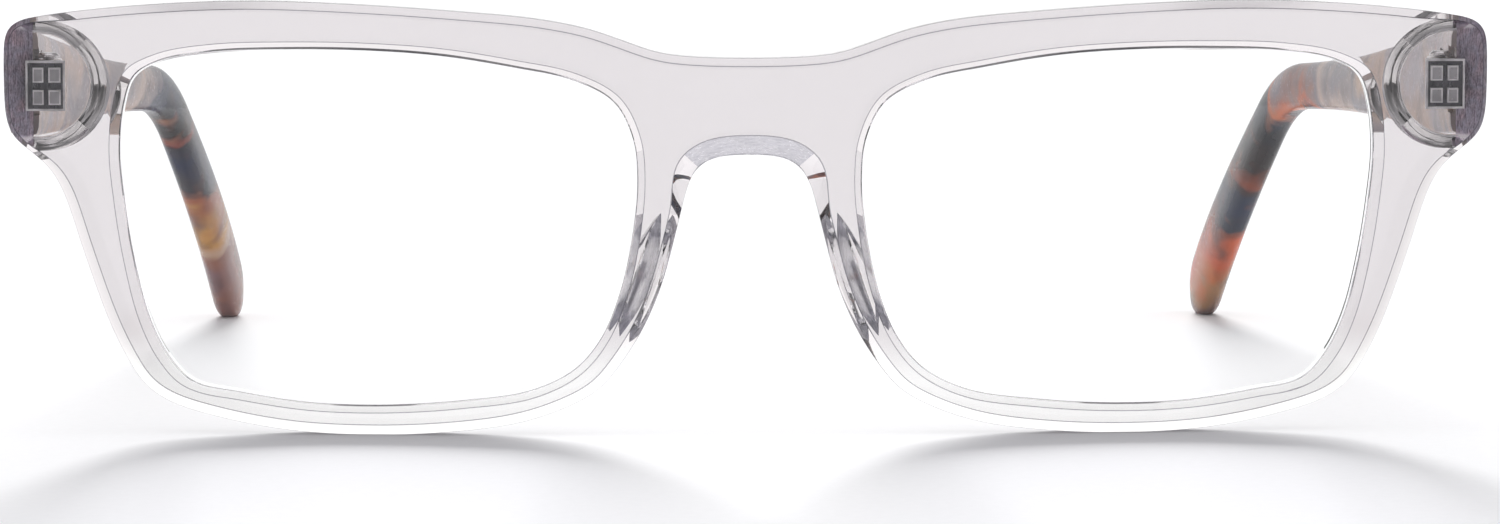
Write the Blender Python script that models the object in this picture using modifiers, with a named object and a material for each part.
"""Rectangular acetate spectacles with folding temples.

Metres, +Z up. The front faces -Y and the temples run towards +Y. Right is +X,
the right-hand side as seen from the front. The object rests on z = 0 on its two
rim bottoms and its two temple tips.

Everything is drawn in millimetres in the front's own frame (front upright, rim
bottoms at z = 0, bridge face at y = 0) and hung on empties that shift the whole
object to where it stands. Mirrored pieces are made on the right first.
"""

import math

import bmesh
import bpy
from mathutils import Matrix, Vector

# ---------------------------------------------------------------- dimensions
MM = 0.001
DATUM_Y = -64.56                  # puts the origin under the middle of the object
DATUM_Z = -0.06                   # settles the rim bottoms onto z = 0

BEND_R = 450.0                    # the front wraps round a cylinder of this radius
RIM_T = 4.0                       # thickness of the rims, front to back
CHAMFER = 0.95                    # chamfer along every rim edge
OUTER_N = 120                     # points round the outline
OPEN_N = 64                       # points round each lens opening
CURVE_STEPS = 24                  # samples between two measured points
TURN_COST = 9.0                   # mm of length that one radian of turning counts for

# right half of the front's outline, (x, z), from the top of the bridge
# round the end piece and the rim to the underside of the bridge
OUTLINE = [(0, 36.1), (4.8, 36.2), (8.6, 36.6), (12.0, 37.75), (15.2, 38.85),
           (20, 39.8), (28, 40.55), (38, 41.2), (47.6, 41.5), (56, 41.2),
           (63, 40.6), (67.5, 40.0), (70.3, 39.4), (71.05, 38.6), (71.2, 36.5),
           (71.2, 33.0), (71.05, 30.2), (70.5, 28.5), (69.0, 27.3), (66.9, 25.5),
           (65.6, 23.2), (63.6, 17.2), (61.3, 10.8), (59.5, 7.1), (58.0, 4.8),
           (55.8, 3.2), (51.5, 1.8), (44.0, 0.4), (36.0, 0.0), (28.6, 0.3),
           (22.0, 1.2), (17.5, 2.7), (14.4, 4.4), (12.2, 7.0), (10.2, 10.2),
           (8.4, 14.4), (7.2, 18.8), (6.3, 22.4), (5.7, 24.5), (4.4, 26.1),
           (2.2, 26.7), (0, 26.75)]
# right lens opening, (x, z), clockwise from the top
OPENING = [(36.5, 36.8), (44.0, 36.9), (51.2, 36.65), (56.3, 35.75), (58.7, 34.3),
           (59.7, 31.5), (60.1, 27.2), (59.7, 22.6), (58.8, 16.9), (57.4, 11.3),
           (55.6, 7.6), (53.2, 5.1), (48.6, 4.1), (42.0, 3.15), (34.8, 2.95),
           (27.5, 3.4), (20.8, 4.4), (16.6, 6.5), (14.0, 9.7), (12.2, 14.3),
           (11.1, 19.7), (10.7, 24.4), (11.1, 28.4), (12.9, 31.9), (16.8, 34.0),
           (22.4, 35.2), (29.4, 36.3)]

SADDLE_RISE = 1.95                # the arch's front edge sits above its back edge
SADDLE_HALF = 6.2                 # half the width of the arch
ARCH_Z = (20.5, 30.0)             # heights between which the outline is the arch
SADDLE_BASE_Z = 15.0              # bottom of the saddle cutter
SADDLE_DROP = 0.02                # the cutter's back edge stays below the arch

LENS_CX, LENS_CZ = 35.5, 20.0     # middle of a lens
LENS_R = 400.0                    # extra spherical crown of the lens
LENS_Y = 1.55                     # lens middle surface behind the rim's face
LENS_HALF_T = 0.95                # half the lens thickness
# groove sections, (growth from the opening, depth from the lens's middle surface)
GROOVE = [(-1.2, -1.9), (-0.35, -LENS_HALF_T - 0.35), (0.62, -0.16), (0.62, 0.16),
          (-0.35, LENS_HALF_T + 0.35), (-1.2, 1.9)]
# lens sections, (growth, depth, scale about the lens's middle)
LENS_SECTIONS = [(0.0, -LENS_HALF_T, 0.33), (0.0, -LENS_HALF_T, 0.66),
                 (-0.15, -LENS_HALF_T, 1.0), (0.42, -0.10, 1.0), (0.42, 0.10, 1.0),
                 (-0.15, LENS_HALF_T, 1.0), (0.0, LENS_HALF_T, 0.66),
                 (0.0, LENS_HALF_T, 0.33)]

PAD_BOTTOM, PAD_TOP = (12.0, 9.2), (8.2, 20.6)   # nose pad's root line, (x, z)
PAD_HALF_W, PAD_DEPTH, PAD_HALF_L = 1.75, 5.2, 7.1
PAD_FLARE = math.radians(20.0)    # the pad opens outwards towards the back

END_X, END_Z = 67.9, 33.2         # centre of the raised land behind the end piece
END_R, END_COVE_R = 5.1, 7.0      # flat land and foot of its coved shoulder
LAND_Y = 11.2                     # the land's flat back, which carries the hinge
LAND_SINK = 1.1                   # foot of the cove below the rim's back
COVE_STEPS = 5
LAND_INSET = 0.35                 # the land stays this far inside the outline
MITRE_X = 68.4                    # the joint face turns to 45 degrees outside this
JOINT_GAP = 0.10                  # between the end piece and the open temple

AXIS_X, AXIS_Y = 66.9, 12.85      # hinge axis
HINGE_Z = END_Z                   # middle of the hinge
KNUCKLE_R, KNUCKLE_PITCH, KNUCKLE_GAP = 1.25, 0.98, 0.06
STACK_Z0 = HINGE_Z - 2.5 * KNUCKLE_PITCH         # bottom of the five knuckles
STACK_Z1 = STACK_Z0 + 5 * KNUCKLE_PITCH
BORE_R, SCREW_R = 0.56, 0.50
HEAD_R, HEAD_H = 1.05, 0.50
HEAD_Z = STACK_Z1 + 0.05          # underside of the screw head
HEAD_CHAMFER, SCREW_CHAMFER = 0.25, 0.15
SLOT_HALF = 0.14                  # half the width of the screw slot
ROUND_N = 20                      # sides of the knuckles, the bore and the screw
FIT = 0.08                        # clearance round embedded hardware

PLATE_X, PLATE_W, PLATE_H = 67.5, 3.8, 4.8       # front hinge plate
PLATE_X0, PLATE_X1 = PLATE_X - PLATE_W / 2, PLATE_X + PLATE_W / 2
PLATE_Z0, PLATE_Z1 = HINGE_Z - PLATE_H / 2, HINGE_Z + PLATE_H / 2   # both plates
PLATE_Y0, PLATE_Y1 = 8.4, 9.85
RISER_X1 = 68.15                  # outer side of the block behind the plate
FOOT_X = ((65.95, 67.15), (67.65, 68.75))        # four feet in front of the plate
FOOT_Z = (HINGE_Z - 1.02, HINGE_Z + 0.92)
FOOT_HALF, FOOT_Y = 0.66, 6.95

# plate and feet of the temple half
TPLATE_X0, TPLATE_X1, TPLATE_Y0, TPLATE_Y1 = 67.45, 68.2, 14.7, 23.0
TFOOT_Y = ((16.8, 18.0), (20.6, 21.8))
TFOOT_X1 = 69.5
TFOOT_Z0, TFOOT_Z1 = HINGE_Z - 1.5, HINGE_Z + 0.1

TEMPLE_T0, TEMPLE_T1 = 3.2, 3.3   # temple thickness at the hinge and at the tip
TEMPLE_H0, TEMPLE_H1, TEMPLE_H2 = 10.2, 4.9, 7.9   # height at hinge, bend, tip
TEMPLE_X = 69.45                  # centre line at the hinge
TEMPLE_START = (7.0, 33.7)        # centre line (y, z)
TEMPLE_BEND = (90.9, 28.4)
TEMPLE_TIP = (128.58, 1.17)
TIP_R = 5.5                       # length of the rounded tip
EAR_R = 25.0                      # radius of the bend behind the ear
BOW, FLARE = 6.1, 2.5             # inward bow along the arm, outward flare at the tip
BOW_START = 6.0                   # length of arm before the bow begins
CORNER_STEPS = 3                  # segments round each corner of the arm's section
TIP_STEPS = (0.0, 0.2, 0.4, 0.58, 0.74, 0.87, 0.95, 0.99, 1.0)   # fractions of TIP_R
INSIDE_X = 60.0                   # inboard of the temple, where its cutters start
OUTSIDE_X = 76.0                  # outboard of the temple
WIRE_R, WIRE_GAP = 0.60, 0.10
WIRE_SIDES, WIRE_STEPS = 10, 30

# ------------------------------------------------------------ scene and tools
for old in list(bpy.data.objects):
    bpy.data.objects.remove(old, do_unlink=True)

parts = bpy.data.collections.new("spectacles")
cutters = bpy.data.collections.new("spectacles_cutters")
bpy.context.scene.collection.children.link(parts)
bpy.context.scene.collection.children.link(cutters)


def material(name, colour, roughness, metallic=0.0, alpha=1.0, ior=1.49):
    mat = bpy.data.materials.new(name)
    mat.use_nodes = True
    inputs = mat.node_tree.nodes["Principled BSDF"].inputs
    inputs["Base Color"].default_value = (*colour, 1.0)
    inputs["Roughness"].default_value = roughness
    inputs["Metallic"].default_value = metallic
    inputs["Alpha"].default_value = alpha
    inputs["IOR"].default_value = ior
    mat.diffuse_color = (*colour, alpha)
    return mat


CLEAR = material("clear_acetate", colour=(0.86, 0.85, 0.87), roughness=0.06, alpha=0.35)
PAD = material("pad_acetate", colour=(0.84, 0.83, 0.86), roughness=0.08, alpha=0.40)
LENS = material("lens", colour=(0.93, 0.95, 0.97), roughness=0.02, alpha=0.18, ior=1.50)
TORTOISE = material("tortoise_acetate", colour=(0.17, 0.11, 0.09), roughness=0.18)
HINGE = material("hinge_metal", colour=(0.62, 0.61, 0.60), roughness=0.28, metallic=1.0)
SCREW = material("screw_metal", colour=(0.70, 0.69, 0.68), roughness=0.22, metallic=1.0)
WIRE = material("wire_metal", colour=(0.55, 0.54, 0.52), roughness=0.35, metallic=1.0)


def add(name, mesh, collection=parts, mat=None):
    ob = bpy.data.objects.new(name, mesh)
    collection.objects.link(ob)
    if mat:
        mesh.materials.append(mat)
    ob.hide_render = collection is cutters
    return ob


def from_bmesh(name, bm, collection=parts, mat=None):
    bmesh.ops.recalc_face_normals(bm, faces=bm.faces)
    mesh = bpy.data.meshes.new(name)
    bm.to_mesh(mesh)
    bm.free()
    return add(name, mesh, collection, mat)


def box(name, low, high, collection=parts):
    """A box from its lowest to its highest corner."""
    bm = bmesh.new()
    size = [h - l for l, h in zip(low, high)]
    middle = [(h + l) / 2 for l, h in zip(low, high)]
    bmesh.ops.create_cube(bm, size=1.0, matrix=Matrix.Translation(middle)
                          @ Matrix.Diagonal((*size, 1.0)))
    return from_bmesh(name, bm, collection)


def loft(name, rings, collection=parts, mat=None):
    """Skin a stack of equal rings and cap both ends with a fan."""
    bm = bmesh.new()
    rows = [[bm.verts.new(p) for p in ring] for ring in rings]
    n = len(rows[0])
    for row, following in zip(rows, rows[1:]):
        for i in range(n):
            j = (i + 1) % n
            bm.faces.new((row[i], row[j], following[j], following[i]))
    for row in (rows[0], rows[-1]):
        middle = bm.verts.new(sum((v.co for v in row), Vector()) / n)
        for i in range(n):
            bm.faces.new((row[i], row[(i + 1) % n], middle))
    return from_bmesh(name, bm, collection, mat)


def boolean(ob, other, operation="DIFFERENCE"):
    mod = ob.modifiers.new(operation.lower(), "BOOLEAN")
    mod.operation = operation
    mod.solver = "EXACT"
    mod.object = other


def cut_box(ob, low, high):
    boolean(ob, box("box_cutter", low, high, cutters))


def cut_table(ob):
    """Flatten what reaches below the table plane, which is z = 0 at rest."""
    cut_box(ob, (-150, -200 - DATUM_Y, -20 - DATUM_Z), (150, 200 - DATUM_Y, -DATUM_Z))


def applied(ob):
    """Turn an object's modifiers into plain mesh."""
    deps = bpy.context.evaluated_depsgraph_get()
    mesh = bpy.data.meshes.new_from_object(ob.evaluated_get(deps))
    bm = bmesh.new()
    bm.from_mesh(mesh)
    bmesh.ops.remove_doubles(bm, verts=bm.verts, dist=1e-4)
    bmesh.ops.dissolve_degenerate(bm, edges=bm.edges, dist=1e-4)
    bm.to_mesh(mesh)
    bm.free()
    ob.modifiers.clear()
    ob.data = mesh
    return ob


def union(name, pieces, mat):
    """Join overlapping solids into one body."""
    body = pieces[0]
    for other in pieces[1:]:
        boolean(body, other, "UNION")
    applied(body)
    for other in pieces[1:]:
        bpy.data.objects.remove(other, do_unlink=True)
    body.name = name
    body.data.name = name
    body.data.materials.clear()
    body.data.materials.append(mat)
    return body


def turned(name, profile, steps, mat=None):
    """Turn a profile of (radius, z) points round the z axis."""
    mesh = bpy.data.meshes.new(name)
    edges = [(i, i + 1) for i in range(len(profile) - 1)]
    mesh.from_pydata([(r, 0.0, z) for r, z in profile], edges, [])
    ob = add(name, mesh, mat=mat)
    turn = ob.modifiers.new("turn", "SCREW")
    turn.axis = "Z"
    turn.steps = turn.render_steps = steps
    turn.use_merge_vertices = True
    turn.merge_threshold = 1e-4
    return applied(ob)


def mirrored(ob):
    """The left-hand twin of a right-hand piece."""
    name = ob.name.replace("right", "left")
    mesh = ob.data.copy()
    mesh.name = name
    mesh.transform(Matrix.Diagonal((-1.0, 1.0, 1.0, 1.0)))
    mesh.flip_normals()
    return add(name, mesh)


# ------------------------------------------------------------------- outlines
def blend(a, b, start, end, t):
    """The point at t on the line that passes a at start and b at end."""
    return a * (end - t) / (end - start) + b * (t - start) / (end - start)


def smooth_loop(points, count):
    """Centripetal Catmull-Rom curve through a closed loop, closer set in the bends."""
    pts = [Vector(p) for p in points]
    n = len(pts)
    dense = []
    for i in range(n):
        near = [pts[(i + k - 1) % n] for k in range(4)]
        knots = [0.0]
        for a, b in zip(near, near[1:]):
            knots.append(knots[-1] + (b - a).length ** 0.5)
        for k in range(CURVE_STEPS):
            t = knots[1] + (knots[2] - knots[1]) * k / CURVE_STEPS
            lines = [blend(near[j], near[j + 1], knots[j], knots[j + 1], t)
                     for j in range(3)]
            curves = [blend(lines[j], lines[j + 1], knots[j], knots[j + 2], t)
                      for j in range(2)]
            dense.append(blend(curves[0], curves[1], knots[1], knots[2], t))
    # points are evenly spaced in this running sum of length and turning
    m = len(dense)
    cost = [0.0]
    for i in range(m):
        a, b, c = dense[i - 1], dense[i], dense[(i + 1) % m]
        turn = abs((b - a).angle(c - b, 0.0))
        cost.append(cost[-1] + (c - b).length + TURN_COST * turn)
    spaced = []
    j = 0
    for k in range(count):
        target = cost[-1] * k / count
        while cost[j + 1] < target:
            j += 1
        fraction = (target - cost[j]) / (cost[j + 1] - cost[j])
        spaced.append(dense[j].lerp(dense[(j + 1) % m], fraction))
    return spaced


def offset_loop(loop, distance):
    """Move a clockwise loop outwards by a distance."""
    moved = []
    for i, p in enumerate(loop):
        heading = (loop[(i + 1) % len(loop)] - loop[i - 1]).normalized()
        moved.append(p + Vector((-heading.y, heading.x)) * distance)
    return moved


def wrap(x):
    """How far back the bent front lies at x."""
    return x * x / (2 * BEND_R)


outline = smooth_loop(OUTLINE + [(-x, z) for x, z in reversed(OUTLINE[1:-1])], OUTER_N)
opening = smooth_loop(OPENING, OPEN_N)


# ---------------------------------------------------------------- front frame
def front_plate():
    """The outline with both openings, extruded, chamfered, stood up and bent."""
    data = bpy.data.curves.new("front", "CURVE")
    data.dimensions = "2D"
    data.fill_mode = "BOTH"
    data.extrude = RIM_T / 2 - CHAMFER
    data.bevel_depth = CHAMFER
    data.bevel_resolution = 0
    data.offset = -CHAMFER        # keeps the bevelled plate within the outline
    for loop in (outline, opening, [Vector((-p.x, p.y)) for p in reversed(opening)]):
        spline = data.splines.new("POLY")
        spline.points.add(len(loop) - 1)
        for point, p in zip(spline.points, loop):
            point.co = (p.x, p.y, 0.0, 1.0)
        spline.use_cyclic_u = True
    ob = bpy.data.objects.new("front", data)
    parts.objects.link(ob)
    bpy.context.view_layer.update()
    mesh = bpy.data.meshes.new_from_object(
        ob.evaluated_get(bpy.context.evaluated_depsgraph_get()))
    bpy.data.objects.remove(ob, do_unlink=True)
    bm = bmesh.new()
    bm.from_mesh(mesh)
    bpy.data.meshes.remove(mesh)
    bmesh.ops.remove_doubles(bm, verts=bm.verts, dist=1e-4)
    # x stays, curve y becomes up, curve z becomes front to back
    bmesh.ops.transform(bm, verts=bm.verts, matrix=Matrix(
        ((1, 0, 0, 0), (0, 0, -1, RIM_T / 2), (0, 1, 0, 0), (0, 0, 0, 1))))
    for v in bm.verts:
        v.co.y += wrap(v.co.x)
    return from_bmesh("front_frame", bm, mat=CLEAR)


def end_land(side):
    """Raised round land behind an end piece, with a coved shoulder."""
    foot = wrap(END_X) + RIM_T - LAND_SINK
    profile = [(0.0, LAND_Y)]     # (radius, depth)
    for k in range(COVE_STEPS + 1):
        cosine = math.cos(math.pi / 2 * k / COVE_STEPS)
        profile.append((END_COVE_R - (END_COVE_R - END_R) * cosine,
                        LAND_Y - (LAND_Y - foot) * (1 - cosine) ** 0.8))
    profile += [(END_COVE_R, foot - 1.0), (0.0, foot - 1.0)]
    blank = turned("land", profile, 40)
    bm = bmesh.new()
    bm.from_mesh(blank.data)
    bpy.data.objects.remove(blank, do_unlink=True)
    # lay the turning axis down along y
    bmesh.ops.transform(bm, verts=bm.verts, matrix=Matrix(
        ((1, 0, 0, side * END_X), (0, 0, 1, 0), (0, -1, 0, END_Z), (0, 0, 0, 1))))
    for v in bm.verts:            # square towards the outer end, round inwards
        dx, dz = side * v.co.x - END_X, v.co.z - END_Z
        if dx > 1e-6:
            grow = math.hypot(dx, dz) / max(dx, abs(dz))
            v.co.x = side * (END_X + dx * grow)
            v.co.z = END_Z + dz * grow
    return from_bmesh("land", bm, cutters)


def joint_prism(side, gap, behind):
    """Upright prism behind the joint line, or in front of it."""
    y = LAND_Y + gap
    line = [(MITRE_X, y), (OUTSIDE_X, y - (OUTSIDE_X - MITRE_X))]
    if behind:
        poly = [(MITRE_X - 4.0, y + 4.0), *line, (OUTSIDE_X, y + 4.0)]
    else:
        poly = [(INSIDE_X, y), *line, (OUTSIDE_X, -6.0), (INSIDE_X, -6.0)]
    return loft("joint_prism", [[(side * px, py, z) for px, py in poly]
                                for z in (15.0, 55.0)], cutters)


def saddle():
    """Sloping cutter under the bridge: the arch opens towards the front."""
    low, high = ARCH_Z
    arch = [p for p in outline if abs(p.x) < SADDLE_HALF and low < p.y < high]
    arch.sort(key=lambda p: p.x)
    rings = []
    for y in (-1.0, RIM_T + 0.5):
        rise = SADDLE_RISE * (RIM_T - y) / RIM_T - SADDLE_DROP
        top = [(p.x, y, p.y + rise * max(0.0, 1 - (p.x / SADDLE_HALF) ** 4)) for p in arch]
        rings.append([(-SADDLE_HALF, y, SADDLE_BASE_Z), *top,
                      (SADDLE_HALF, y, SADDLE_BASE_Z)])
    return loft("saddle", rings, cutters)


def lens_ring(side, grow, depth, scale=1.0):
    """The opening grown, scaled and laid parallel to the lens's middle surface."""
    ring = []
    for p in offset_loop(opening, grow):
        x = LENS_CX + (p.x - LENS_CX) * scale
        z = LENS_CZ + (p.y - LENS_CZ) * scale
        crown = ((x - LENS_CX) ** 2 + (z - LENS_CZ) ** 2) / (2 * LENS_R)
        ring.append((side * x, wrap(x) + LENS_Y + crown + depth, z))
    return ring


def cut_hinge_pockets(ob, side):
    """Pockets for the front hinge's plate and feet, open at the back."""
    pockets = [((PLATE_X0, PLATE_Y0, PLATE_Z0), (PLATE_X1, 20.0, PLATE_Z1))]
    for z in FOOT_Z:
        pockets.append(((FOOT_X[0][0], FOOT_Y, z - FOOT_HALF),
                        (FOOT_X[1][1], PLATE_Y0 + 1.0, z + FOOT_HALF)))
    for low, high in pockets:
        low = [c - FIT for c in low]
        high = [c + FIT for c in high]
        if side < 0:
            low[0], high[0] = -high[0], -low[0]
        cut_box(ob, low, high)


def front_frame():
    front = front_plate()
    inner_outline = offset_loop(outline, -LAND_INSET)
    trim = loft("land_trim", [[(p.x, y, p.y) for p in inner_outline]
                              for y in (-2.0, 20.0)], cutters)
    for side in (1, -1):
        land = end_land(side)
        boolean(land, trim, "INTERSECT")
        boolean(front, applied(land), "UNION")
    for side in (1, -1):          # 45 degree face at the outer back corner
        boolean(front, joint_prism(side, 0.0, behind=True))
    boolean(front, saddle())
    for side in (1, -1):
        boolean(front, loft("groove", [lens_ring(side, *g) for g in GROOVE], cutters))
    for side in (1, -1):
        cut_hinge_pockets(front, side)
    cut_table(front)
    return applied(front)


# ------------------------------------------------------------------- nose pad
def nose_pad():
    """Half of a flattened ellipsoid standing on the back of the rim."""
    bottom = Vector((PAD_BOTTOM[0], 0, PAD_BOTTOM[1]))
    top = Vector((PAD_TOP[0], 0, PAD_TOP[1]))
    middle = (bottom + top) / 2
    along = (top - bottom).normalized()
    across = Vector((along.z, 0.0, -along.x))
    back = across * math.sin(PAD_FLARE) + Vector((0.0, math.cos(PAD_FLARE), 0.0))
    back.normalize()
    sideways = along.cross(back).normalized()
    middle.y = root_y = wrap(middle.x) + RIM_T + 0.05
    axes = Matrix((sideways * PAD_HALF_W, back * PAD_DEPTH, along * PAD_HALF_L))
    bm = bmesh.new()
    bmesh.ops.create_uvsphere(bm, u_segments=18, v_segments=12, radius=1.0)
    bmesh.ops.transform(bm, verts=bm.verts, matrix=Matrix.Translation(middle)
                        @ axes.transposed().to_4x4())
    pad = from_bmesh("nose_pad_right", bm, mat=PAD)
    cut_box(pad, (-5, -20, -10), (30, root_y + 0.02, 40))
    return applied(pad)


# ---------------------------------------------------------- five-knuckle hinge
def axis_cylinder(name, radius, z0, z1, collection=parts):
    """An upright cylinder on the hinge axis."""
    bm = bmesh.new()
    bmesh.ops.create_cone(bm, cap_ends=True, segments=ROUND_N, radius1=radius,
                          radius2=radius, depth=z1 - z0,
                          matrix=Matrix.Translation((AXIS_X, AXIS_Y, (z0 + z1) / 2)))
    return from_bmesh(name, bm, collection)


def hinge_half(name, solids, knuckles, neck_x, neck_y):
    """Join a plate's solids to bored knuckles, numbered from the bottom, by necks."""
    for k in knuckles:
        z0 = STACK_Z0 + k * KNUCKLE_PITCH + KNUCKLE_GAP / 2
        z1 = STACK_Z0 + (k + 1) * KNUCKLE_PITCH - KNUCKLE_GAP / 2
        solids.append(axis_cylinder("barrel", KNUCKLE_R, z0, z1))
        solids.append(box("neck", (neck_x[0], neck_y[0], z0 + 0.01),
                          (neck_x[1], neck_y[1], z1 - 0.01)))
    hinge = union(name, solids, HINGE)
    boolean(hinge, axis_cylinder("bore", BORE_R, STACK_Z0 - 2, STACK_Z0 + 8, cutters))
    return applied(hinge)


def front_hinge():
    """Two knuckles on a plate with four feet, sunk in the end piece."""
    solids = [box("plate", (PLATE_X0, PLATE_Y0, PLATE_Z0), (PLATE_X1, PLATE_Y1, PLATE_Z1)),
              box("riser", (PLATE_X0, PLATE_Y0 + 0.5, PLATE_Z0 + 0.02),
                  (RISER_X1, LAND_Y - 0.05, PLATE_Z1 - 0.02))]
    for z in FOOT_Z:
        for x0, x1 in FOOT_X:
            solids.append(box("foot", (x0, FOOT_Y, z - FOOT_HALF),
                              (x1, PLATE_Y0 + 0.3, z + FOOT_HALF)))
    return hinge_half("front_hinge_right", solids, knuckles=(1, 3),
                      neck_x=(AXIS_X - KNUCKLE_R + 0.02, AXIS_X + KNUCKLE_R - 0.35),
                      neck_y=(LAND_Y - 0.4, AXIS_Y - 0.1))


def temple_hinge():
    """Three knuckles on a plate with two feet, sunk in the temple's inner face."""
    solids = [box("plate", (TPLATE_X0, TPLATE_Y0, PLATE_Z0),
                  (TPLATE_X1, TPLATE_Y1, PLATE_Z1))]
    for y0, y1 in TFOOT_Y:
        solids.append(box("foot", (TPLATE_X1 - 0.3, y0, TFOOT_Z0),
                          (TFOOT_X1, y1, TFOOT_Z1)))
    return hinge_half("temple_hinge_right", solids, knuckles=(0, 2, 4),
                      neck_x=(AXIS_X - 0.1, AXIS_X + KNUCKLE_R - 0.02),
                      neck_y=(AXIS_Y + 0.1, TPLATE_Y0 + 0.6))


def hinge_screw():
    """Slotted head on top, shank through the five knuckles."""
    profile = [(0.0, HEAD_Z + HEAD_H), (HEAD_R - HEAD_CHAMFER, HEAD_Z + HEAD_H),
               (HEAD_R, HEAD_Z + HEAD_H * 0.6), (HEAD_R, HEAD_Z), (SCREW_R, HEAD_Z),
               (SCREW_R, STACK_Z0 + SCREW_CHAMFER), (SCREW_R - SCREW_CHAMFER, STACK_Z0),
               (0.0, STACK_Z0)]
    screw = turned("hinge_screw_right", profile, ROUND_N, SCREW)
    screw.data.transform(Matrix.Translation((AXIS_X, AXIS_Y, 0.0)))
    cut_box(screw, (AXIS_X - 3, AXIS_Y - SLOT_HALF, HEAD_Z + HEAD_H * 0.5),
            (AXIS_X + 3, AXIS_Y + SLOT_HALF, STACK_Z1 + 3))
    return applied(screw)


# --------------------------------------------------------------------- temples
# The centre line in (y, z): a straight arm, an arc behind the ear, a straight
# tail. Places along it are arc lengths s from TEMPLE_START.
arm_start, arm_bend, arm_tip = Vector(TEMPLE_START), Vector(TEMPLE_BEND), Vector(TEMPLE_TIP)
arm_dir = (arm_bend - arm_start).normalized()
tail_dir = (arm_tip - arm_bend).normalized()
bend_dir = Vector((arm_dir.y, -arm_dir.x))       # towards the inside of the bend
bend_angle = arm_dir.angle(tail_dir)
bend_cut = EAR_R * math.tan(bend_angle / 2)      # what the arc takes off each straight
BEND_S0 = (arm_bend - arm_start).length - bend_cut
BEND_S1 = BEND_S0 + EAR_R * bend_angle
ARM_L = BEND_S1 + (arm_tip - arm_bend).length - bend_cut
bend_centre = arm_start + arm_dir * BEND_S0 + bend_dir * EAR_R

WIRE_S0, WIRE_S1 = 15.9, ARM_L - 9.0             # ends of the core wire
CHANNEL_S0, CHANNEL_S1 = 13.9, WIRE_S1 + 0.4     # ends of its channel


def centre_line(s):
    """Point and direction of the centre line in (y, z)."""
    if s <= BEND_S0:
        return arm_start + arm_dir * s, arm_dir
    if s <= BEND_S1:
        t = (s - BEND_S0) / EAR_R
        radial = arm_dir * math.sin(t) - bend_dir * math.cos(t)
        return bend_centre + radial * EAR_R, arm_dir * math.cos(t) + bend_dir * math.sin(t)
    return arm_bend + tail_dir * (bend_cut + s - BEND_S1), tail_dir


def ease(t):
    t = min(1.0, max(0.0, t))
    return t * t * (3 - 2 * t)


def arm_x(s):
    """Lateral place of the centre line: straight, bowed inwards, flared at the tip."""
    t = max(0.0, (s - BOW_START) / (BEND_S0 - BOW_START))
    u = max(0.0, (s - BEND_S0) / (ARM_L - BEND_S0))
    return TEMPLE_X - BOW * (t * t if t < 1 else 2 * t - 1) + FLARE * u ** 2.5


def arm_point(s, across, up):
    """A point of the section at s, across the temple and up it."""
    point, heading = centre_line(s)
    return (arm_x(s) + across, point.x - heading.y * up, point.y + heading.x * up)


def arm_ring(s):
    """Rounded-rectangle section of the arm."""
    half_t = (TEMPLE_T0 + (TEMPLE_T1 - TEMPLE_T0) * ease(s / ARM_L)) / 2
    if s < BEND_S0:
        height = TEMPLE_H0 + (TEMPLE_H1 - TEMPLE_H0) * ease(s / BEND_S0) ** 0.9
    else:
        t = (s - BEND_S0) / (ARM_L - BEND_S0 - 6)
        height = TEMPLE_H1 + (TEMPLE_H2 - TEMPLE_H1) * ease(t)
    half_h = height / 2
    to_tip = ARM_L - s
    if to_tip < TIP_R:            # the tip is rounded like a paddle
        shrink = math.sqrt(max(0.0, 1 - (1 - to_tip / TIP_R) ** 2))
        half_h *= max(shrink, 0.08)
        half_t *= 0.45 + 0.55 * shrink if shrink > 0.05 else 0.3
    # the corners grow rounder along the arm
    corner = min(1.05 + 0.4 * ease((s - 25.0) / 40.0), half_t * 0.92, half_h * 0.92)
    ring = []
    for sign_x, sign_z, start in ((1, 1, 0), (-1, 1, 90), (-1, -1, 180), (1, -1, 270)):
        for i in range(CORNER_STEPS + 1):
            a = math.radians(start + 90.0 * i / CORNER_STEPS)
            ring.append(arm_point(s, sign_x * (half_t - corner) + corner * math.cos(a),
                                  sign_z * (half_h - corner) + corner * math.sin(a)))
    return ring


def wire_loft(name, radius, s0, s1, collection=parts, mat=None):
    """A round bar along the centre line."""
    angles = [2 * math.pi * j / WIRE_SIDES for j in range(WIRE_SIDES)]
    stations = [s0 + (s1 - s0) * i / WIRE_STEPS for i in range(WIRE_STEPS + 1)]
    return loft(name, [[arm_point(s, radius * math.cos(a), radius * math.sin(a))
                        for a in angles] for s in stations], collection, mat)


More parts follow.
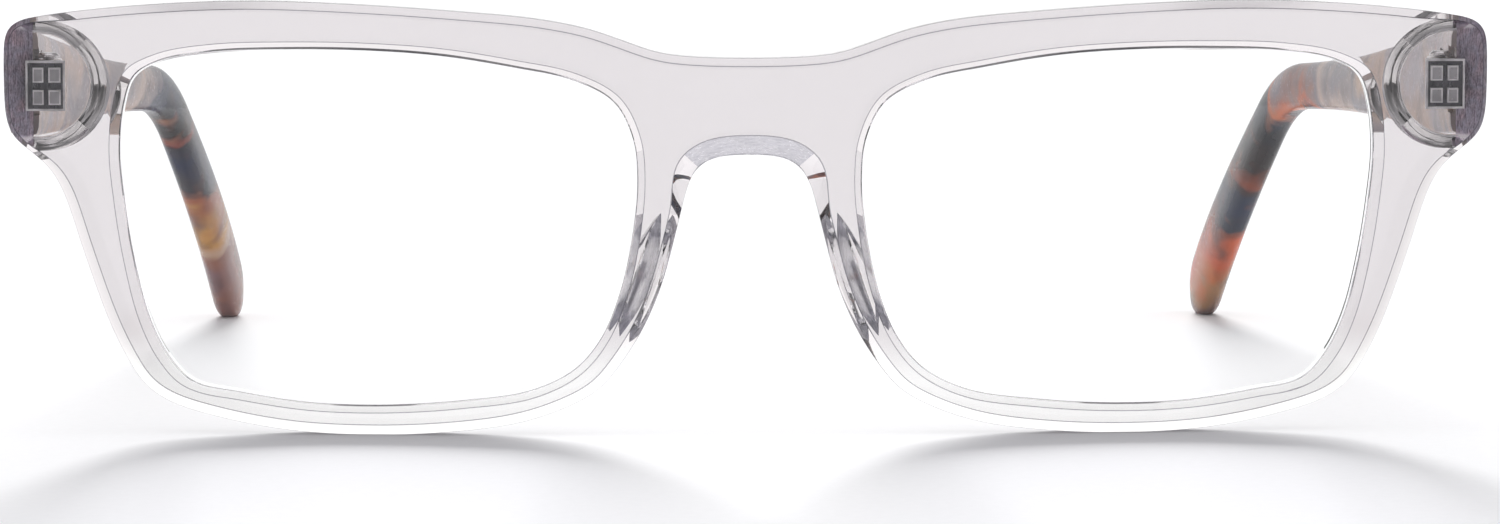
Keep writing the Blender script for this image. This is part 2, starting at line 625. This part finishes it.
def temple_arm():
    tip_s = ARM_L - TIP_R         # where the rounded tip begins
    stations = [BEND_S0 * i / 15 for i in range(15)]
    stations += [BEND_S0 + (BEND_S1 - BEND_S0) * i / 9 for i in range(9)]
    stations += [BEND_S1 + (tip_s - BEND_S1) * i / 6 for i in range(6)]
    stations += [tip_s + TIP_R * step for step in TIP_STEPS]
    temple = loft("temple_right", [arm_ring(s) for s in stations], mat=TORTOISE)
    boolean(temple, joint_prism(1, JOINT_GAP, behind=False))
    # pocket for the hinge plate
    cut_box(temple, (INSIDE_X, 0.0, PLATE_Z0 - FIT - 0.1),
            (TPLATE_X1 + FIT, TPLATE_Y1 + FIT, PLATE_Z1 + FIT + 0.1))
    # relief round the knuckles and the screw head
    cut_box(temple, (INSIDE_X, 0.0, STACK_Z0 - 0.5),
            (TPLATE_X1 + FIT + 0.1, AXIS_Y + 1.75, STACK_Z1 + HEAD_H + 0.5))
    for y0, y1 in TFOOT_Y:
        cut_box(temple, (TPLATE_X1 - 1.0, y0 - FIT, TFOOT_Z0 - FIT),
                (TFOOT_X1 + FIT, y1 + FIT, TFOOT_Z1 + FIT))
    boolean(temple, wire_loft("wire_channel", WIRE_R + WIRE_GAP, CHANNEL_S0, CHANNEL_S1,
                              cutters))
    cut_table(temple)
    return applied(temple)


# ------------------------------------------------- hang everything on empties
def datum(name, point):
    """An empty at a point of the front's frame."""
    empty = bpy.data.objects.new(name, None)
    parts.objects.link(empty)
    empty.empty_display_size = 0.01
    empty.location = (Vector(point) + Vector((0, DATUM_Y, DATUM_Z))) * MM
    return empty


def hang(name, point, pieces):
    """Parent pieces to a new empty, with their origins on its point."""
    empty = datum(name, point)
    for ob in pieces:
        ob.data.transform(Matrix.Scale(MM, 4) @ Matrix.Translation(-Vector(point)))
        ob.parent = empty
        ob.data.shade_smooth()
        ob.data.set_sharp_from_angle(angle=math.radians(28.0))


front = front_frame()
lens = loft("lens_right", [lens_ring(1, *section) for section in LENS_SECTIONS], mat=LENS)
right_fittings = [lens, nose_pad(), front_hinge(), hinge_screw()]
left_fittings = [mirrored(ob) for ob in right_fittings]
hang("front_datum", (0, 0, 0), [front, *right_fittings, *left_fittings])

core_wire = wire_loft("core_wire_right", WIRE_R, WIRE_S0, WIRE_S1, mat=WIRE)
right_temple = [temple_arm(), temple_hinge(), core_wire]
left_temple = [mirrored(ob) for ob in right_temple]
hang("temple_axis_right", (AXIS_X, AXIS_Y, HINGE_Z), right_temple)
hang("temple_axis_left", (-AXIS_X, AXIS_Y, HINGE_Z), left_temple)

for cutter in list(cutters.objects):
    bpy.data.objects.remove(cutter, do_unlink=True)
